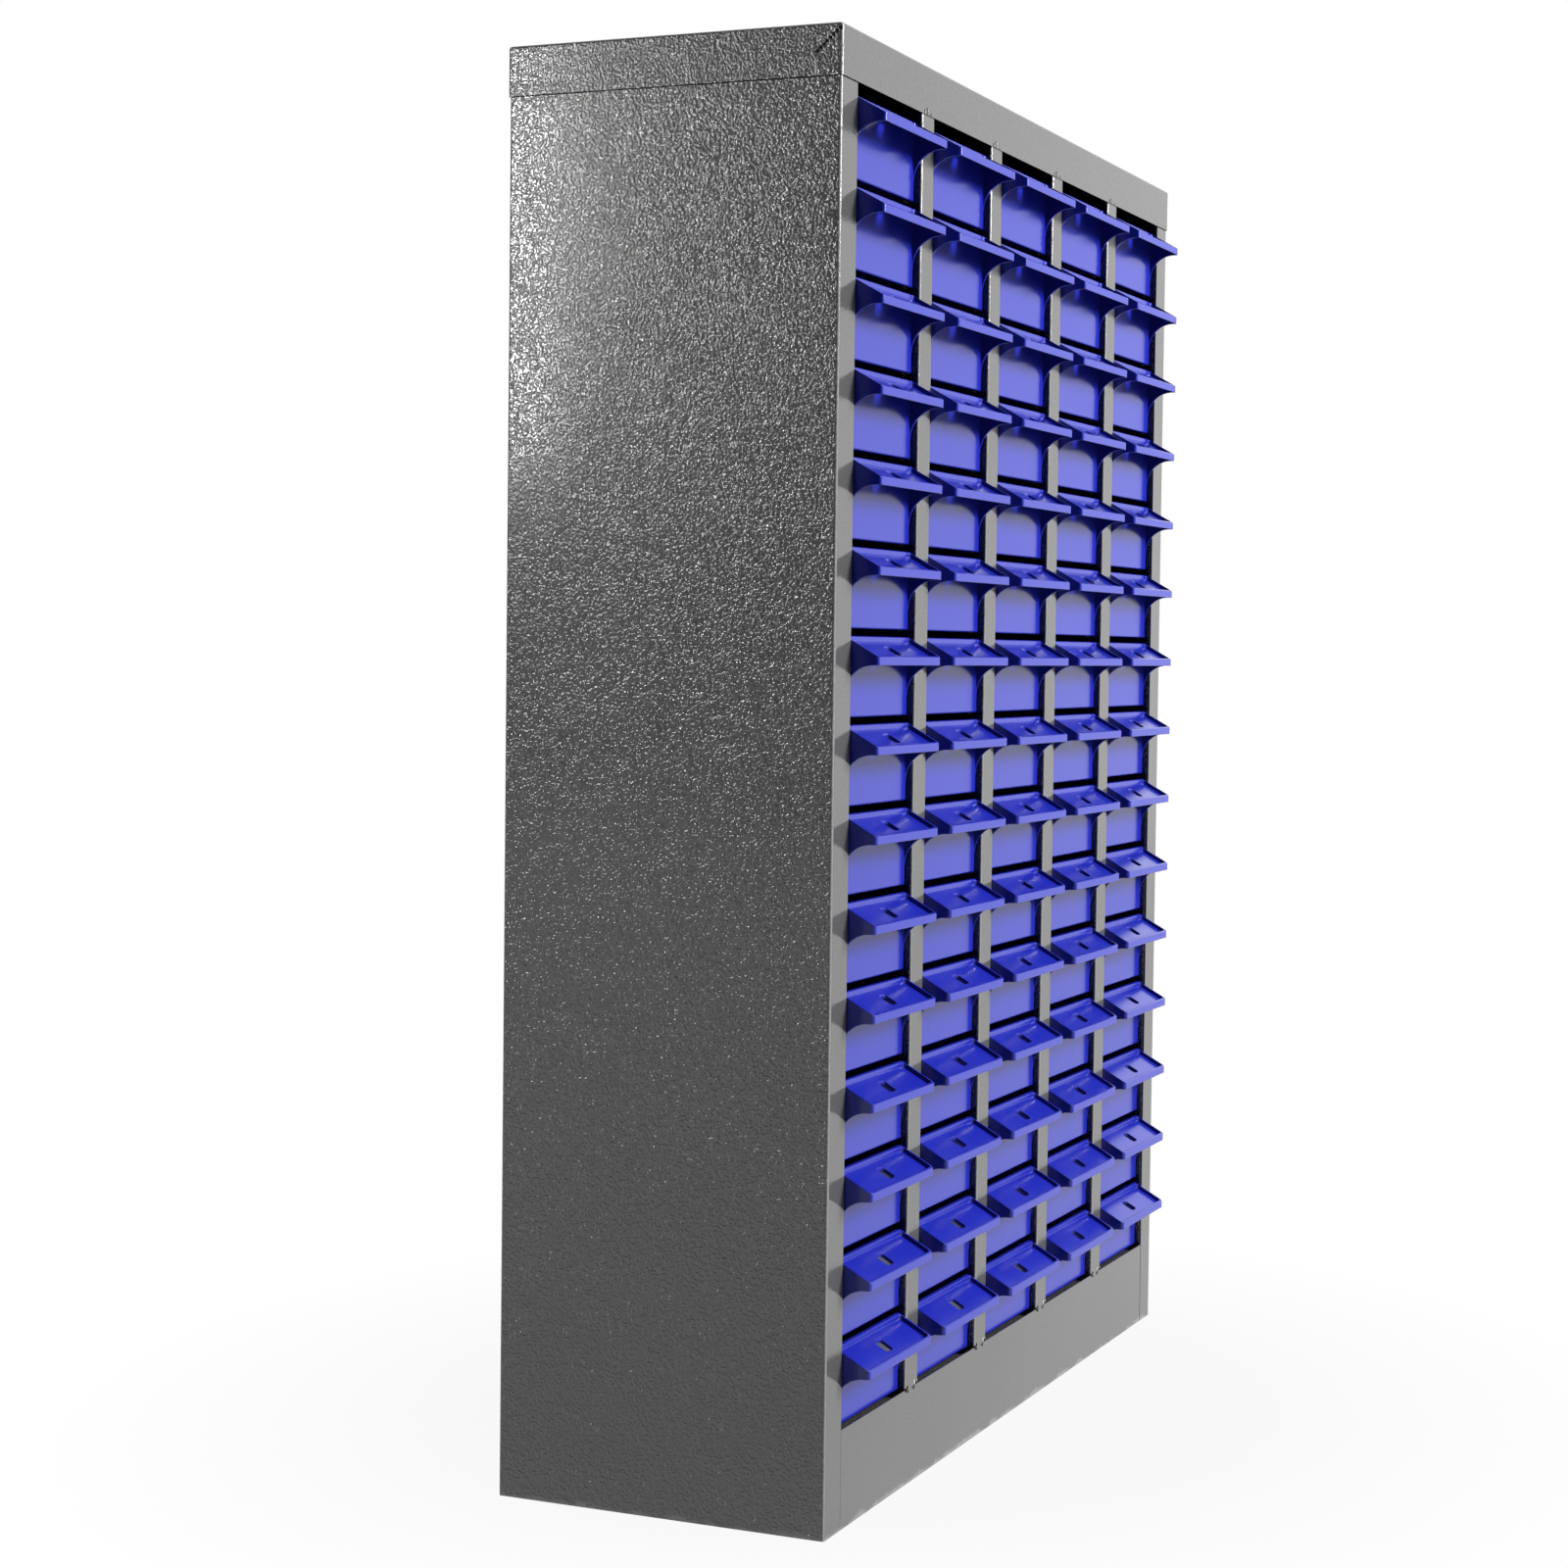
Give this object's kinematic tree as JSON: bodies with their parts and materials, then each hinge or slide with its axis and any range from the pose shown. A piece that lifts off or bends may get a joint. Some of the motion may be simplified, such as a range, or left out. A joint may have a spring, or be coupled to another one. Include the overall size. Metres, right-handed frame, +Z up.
{
  "type": "parts bin cabinet",
  "caption": "Tall steel small-parts cabinet with columns of plastic drawers that slide forwards on runner strips; each drawer front has a sloping dished handle.",
  "frame": {"origin": "on the floor at the centre of the bounding box, drawer handles included", "axes": "+Z up, +X to the right seen from the front, the drawer fronts face -Y"},
  "size_m": [0.641, 0.2534, 0.937],
  "materials": {
    "grey_steel": "hammered grey enamel on folded sheet steel",
    "runner_steel": "grey enamel on flat strip",
    "blue_plastic": "glossy injection-moulded blue plastic"
  },
  "bodies": {
    "cabinet": {"left_side_panel": "grey_steel", "right_side_panel": "grey_steel", "left_side_liner": "grey_steel", "right_side_liner": "grey_steel", "back_panel": "grey_steel", "top_cover": "grey_steel", "kick_plate": "grey_steel", "base_pan": "grey_steel", "runner_strips": "runner_steel", "post_1": "grey_steel", "post_2": "grey_steel", "post_3": "grey_steel", "post_4": "grey_steel"},
    "drawer_r01_c1": {"drawer_r01_c1": "blue_plastic"},
    "drawer_r01_c2": {"drawer_r01_c2": "blue_plastic"},
    "drawer_r01_c3": {"drawer_r01_c3": "blue_plastic"},
    "drawer_r01_c4": {"drawer_r01_c4": "blue_plastic"},
    "drawer_r01_c5": {"drawer_r01_c5": "blue_plastic"},
    "drawer_r02_c1": {"drawer_r02_c1": "blue_plastic"},
    "drawer_r02_c2": {"drawer_r02_c2": "blue_plastic"},
    "drawer_r02_c3": {"drawer_r02_c3": "blue_plastic"},
    "drawer_r02_c4": {"drawer_r02_c4": "blue_plastic"},
    "drawer_r02_c5": {"drawer_r02_c5": "blue_plastic"},
    "drawer_r03_c1": {"drawer_r03_c1": "blue_plastic"},
    "drawer_r03_c2": {"drawer_r03_c2": "blue_plastic"},
    "drawer_r03_c3": {"drawer_r03_c3": "blue_plastic"},
    "drawer_r03_c4": {"drawer_r03_c4": "blue_plastic"},
    "drawer_r03_c5": {"drawer_r03_c5": "blue_plastic"},
    "drawer_r04_c1": {"drawer_r04_c1": "blue_plastic"},
    "drawer_r04_c2": {"drawer_r04_c2": "blue_plastic"},
    "drawer_r04_c3": {"drawer_r04_c3": "blue_plastic"},
    "drawer_r04_c4": {"drawer_r04_c4": "blue_plastic"},
    "drawer_r04_c5": {"drawer_r04_c5": "blue_plastic"},
    "drawer_r05_c1": {"drawer_r05_c1": "blue_plastic"},
    "drawer_r05_c2": {"drawer_r05_c2": "blue_plastic"},
    "drawer_r05_c3": {"drawer_r05_c3": "blue_plastic"},
    "drawer_r05_c4": {"drawer_r05_c4": "blue_plastic"},
    "drawer_r05_c5": {"drawer_r05_c5": "blue_plastic"},
    "drawer_r06_c1": {"drawer_r06_c1": "blue_plastic"},
    "drawer_r06_c2": {"drawer_r06_c2": "blue_plastic"},
    "drawer_r06_c3": {"drawer_r06_c3": "blue_plastic"},
    "drawer_r06_c4": {"drawer_r06_c4": "blue_plastic"},
    "drawer_r06_c5": {"drawer_r06_c5": "blue_plastic"},
    "drawer_r07_c1": {"drawer_r07_c1": "blue_plastic"},
    "drawer_r07_c2": {"drawer_r07_c2": "blue_plastic"},
    "drawer_r07_c3": {"drawer_r07_c3": "blue_plastic"},
    "drawer_r07_c4": {"drawer_r07_c4": "blue_plastic"},
    "drawer_r07_c5": {"drawer_r07_c5": "blue_plastic"},
    "drawer_r08_c1": {"drawer_r08_c1": "blue_plastic"},
    "drawer_r08_c2": {"drawer_r08_c2": "blue_plastic"},
    "drawer_r08_c3": {"drawer_r08_c3": "blue_plastic"},
    "drawer_r08_c4": {"drawer_r08_c4": "blue_plastic"},
    "drawer_r08_c5": {"drawer_r08_c5": "blue_plastic"},
    "drawer_row_09": {"drawer_row_09": "blue_plastic"},
    "drawer_row_10": {"drawer_row_10": "blue_plastic"},
    "drawer_row_11": {"drawer_row_11": "blue_plastic"},
    "drawer_row_12": {"drawer_row_12": "blue_plastic"},
    "drawer_row_13": {"drawer_row_13": "blue_plastic"},
    "drawer_row_14": {"drawer_row_14": "blue_plastic"},
    "drawer_row_15": {"drawer_row_15": "blue_plastic"}
  },
  "joints": [
    {"name": "slide_r01_c1", "type": "slide", "parent": "cabinet", "child": "drawer_r01_c1", "axis": [0, -1, 0], "range_m": [0, 0.17]},
    {"name": "slide_r01_c2", "type": "slide", "parent": "cabinet", "child": "drawer_r01_c2", "axis": [0, -1, 0], "range_m": [0, 0.17]},
    {"name": "slide_r01_c3", "type": "slide", "parent": "cabinet", "child": "drawer_r01_c3", "axis": [0, -1, 0], "range_m": [0, 0.17]},
    {"name": "slide_r01_c4", "type": "slide", "parent": "cabinet", "child": "drawer_r01_c4", "axis": [0, -1, 0], "range_m": [0, 0.17]},
    {"name": "slide_r01_c5", "type": "slide", "parent": "cabinet", "child": "drawer_r01_c5", "axis": [0, -1, 0], "range_m": [0, 0.17]},
    {"name": "slide_r02_c1", "type": "slide", "parent": "cabinet", "child": "drawer_r02_c1", "axis": [0, -1, 0], "range_m": [0, 0.17]},
    {"name": "slide_r02_c2", "type": "slide", "parent": "cabinet", "child": "drawer_r02_c2", "axis": [0, -1, 0], "range_m": [0, 0.17]},
    {"name": "slide_r02_c3", "type": "slide", "parent": "cabinet", "child": "drawer_r02_c3", "axis": [0, -1, 0], "range_m": [0, 0.17]},
    {"name": "slide_r02_c4", "type": "slide", "parent": "cabinet", "child": "drawer_r02_c4", "axis": [0, -1, 0], "range_m": [0, 0.17]},
    {"name": "slide_r02_c5", "type": "slide", "parent": "cabinet", "child": "drawer_r02_c5", "axis": [0, -1, 0], "range_m": [0, 0.17]},
    {"name": "slide_r03_c1", "type": "slide", "parent": "cabinet", "child": "drawer_r03_c1", "axis": [0, -1, 0], "range_m": [0, 0.17]},
    {"name": "slide_r03_c2", "type": "slide", "parent": "cabinet", "child": "drawer_r03_c2", "axis": [0, -1, 0], "range_m": [0, 0.17]},
    {"name": "slide_r03_c3", "type": "slide", "parent": "cabinet", "child": "drawer_r03_c3", "axis": [0, -1, 0], "range_m": [0, 0.17]},
    {"name": "slide_r03_c4", "type": "slide", "parent": "cabinet", "child": "drawer_r03_c4", "axis": [0, -1, 0], "range_m": [0, 0.17]},
    {"name": "slide_r03_c5", "type": "slide", "parent": "cabinet", "child": "drawer_r03_c5", "axis": [0, -1, 0], "range_m": [0, 0.17]},
    {"name": "slide_r04_c1", "type": "slide", "parent": "cabinet", "child": "drawer_r04_c1", "axis": [0, -1, 0], "range_m": [0, 0.17]},
    {"name": "slide_r04_c2", "type": "slide", "parent": "cabinet", "child": "drawer_r04_c2", "axis": [0, -1, 0], "range_m": [0, 0.17]},
    {"name": "slide_r04_c3", "type": "slide", "parent": "cabinet", "child": "drawer_r04_c3", "axis": [0, -1, 0], "range_m": [0, 0.17]},
    {"name": "slide_r04_c4", "type": "slide", "parent": "cabinet", "child": "drawer_r04_c4", "axis": [0, -1, 0], "range_m": [0, 0.17]},
    {"name": "slide_r04_c5", "type": "slide", "parent": "cabinet", "child": "drawer_r04_c5", "axis": [0, -1, 0], "range_m": [0, 0.17]},
    {"name": "slide_r05_c1", "type": "slide", "parent": "cabinet", "child": "drawer_r05_c1", "axis": [0, -1, 0], "range_m": [0, 0.17]},
    {"name": "slide_r05_c2", "type": "slide", "parent": "cabinet", "child": "drawer_r05_c2", "axis": [0, -1, 0], "range_m": [0, 0.17]},
    {"name": "slide_r05_c3", "type": "slide", "parent": "cabinet", "child": "drawer_r05_c3", "axis": [0, -1, 0], "range_m": [0, 0.17]},
    {"name": "slide_r05_c4", "type": "slide", "parent": "cabinet", "child": "drawer_r05_c4", "axis": [0, -1, 0], "range_m": [0, 0.17]},
    {"name": "slide_r05_c5", "type": "slide", "parent": "cabinet", "child": "drawer_r05_c5", "axis": [0, -1, 0], "range_m": [0, 0.17]},
    {"name": "slide_r06_c1", "type": "slide", "parent": "cabinet", "child": "drawer_r06_c1", "axis": [0, -1, 0], "range_m": [0, 0.17]},
    {"name": "slide_r06_c2", "type": "slide", "parent": "cabinet", "child": "drawer_r06_c2", "axis": [0, -1, 0], "range_m": [0, 0.17]},
    {"name": "slide_r06_c3", "type": "slide", "parent": "cabinet", "child": "drawer_r06_c3", "axis": [0, -1, 0], "range_m": [0, 0.17]},
    {"name": "slide_r06_c4", "type": "slide", "parent": "cabinet", "child": "drawer_r06_c4", "axis": [0, -1, 0], "range_m": [0, 0.17]},
    {"name": "slide_r06_c5", "type": "slide", "parent": "cabinet", "child": "drawer_r06_c5", "axis": [0, -1, 0], "range_m": [0, 0.17]},
    {"name": "slide_r07_c1", "type": "slide", "parent": "cabinet", "child": "drawer_r07_c1", "axis": [0, -1, 0], "range_m": [0, 0.17]},
    {"name": "slide_r07_c2", "type": "slide", "parent": "cabinet", "child": "drawer_r07_c2", "axis": [0, -1, 0], "range_m": [0, 0.17]},
    {"name": "slide_r07_c3", "type": "slide", "parent": "cabinet", "child": "drawer_r07_c3", "axis": [0, -1, 0], "range_m": [0, 0.17]},
    {"name": "slide_r07_c4", "type": "slide", "parent": "cabinet", "child": "drawer_r07_c4", "axis": [0, -1, 0], "range_m": [0, 0.17]},
    {"name": "slide_r07_c5", "type": "slide", "parent": "cabinet", "child": "drawer_r07_c5", "axis": [0, -1, 0], "range_m": [0, 0.17]},
    {"name": "slide_r08_c1", "type": "slide", "parent": "cabinet", "child": "drawer_r08_c1", "axis": [0, -1, 0], "range_m": [0, 0.17]},
    {"name": "slide_r08_c2", "type": "slide", "parent": "cabinet", "child": "drawer_r08_c2", "axis": [0, -1, 0], "range_m": [0, 0.17]},
    {"name": "slide_r08_c3", "type": "slide", "parent": "cabinet", "child": "drawer_r08_c3", "axis": [0, -1, 0], "range_m": [0, 0.17]},
    {"name": "slide_r08_c4", "type": "slide", "parent": "cabinet", "child": "drawer_r08_c4", "axis": [0, -1, 0], "range_m": [0, 0.17]},
    {"name": "slide_r08_c5", "type": "slide", "parent": "cabinet", "child": "drawer_r08_c5", "axis": [0, -1, 0], "range_m": [0, 0.17]},
    {"name": "slide_row_09", "type": "slide", "parent": "cabinet", "child": "drawer_row_09", "axis": [0, -1, 0], "range_m": [0, 0.17]},
    {"name": "slide_row_10", "type": "slide", "parent": "cabinet", "child": "drawer_row_10", "axis": [0, -1, 0], "range_m": [0, 0.17]},
    {"name": "slide_row_11", "type": "slide", "parent": "cabinet", "child": "drawer_row_11", "axis": [0, -1, 0], "range_m": [0, 0.17]},
    {"name": "slide_row_12", "type": "slide", "parent": "cabinet", "child": "drawer_row_12", "axis": [0, -1, 0], "range_m": [0, 0.17]},
    {"name": "slide_row_13", "type": "slide", "parent": "cabinet", "child": "drawer_row_13", "axis": [0, -1, 0], "range_m": [0, 0.17]},
    {"name": "slide_row_14", "type": "slide", "parent": "cabinet", "child": "drawer_row_14", "axis": [0, -1, 0], "range_m": [0, 0.17]},
    {"name": "slide_row_15", "type": "slide", "parent": "cabinet", "child": "drawer_row_15", "axis": [0, -1, 0], "range_m": [0, 0.17]}
  ]
}
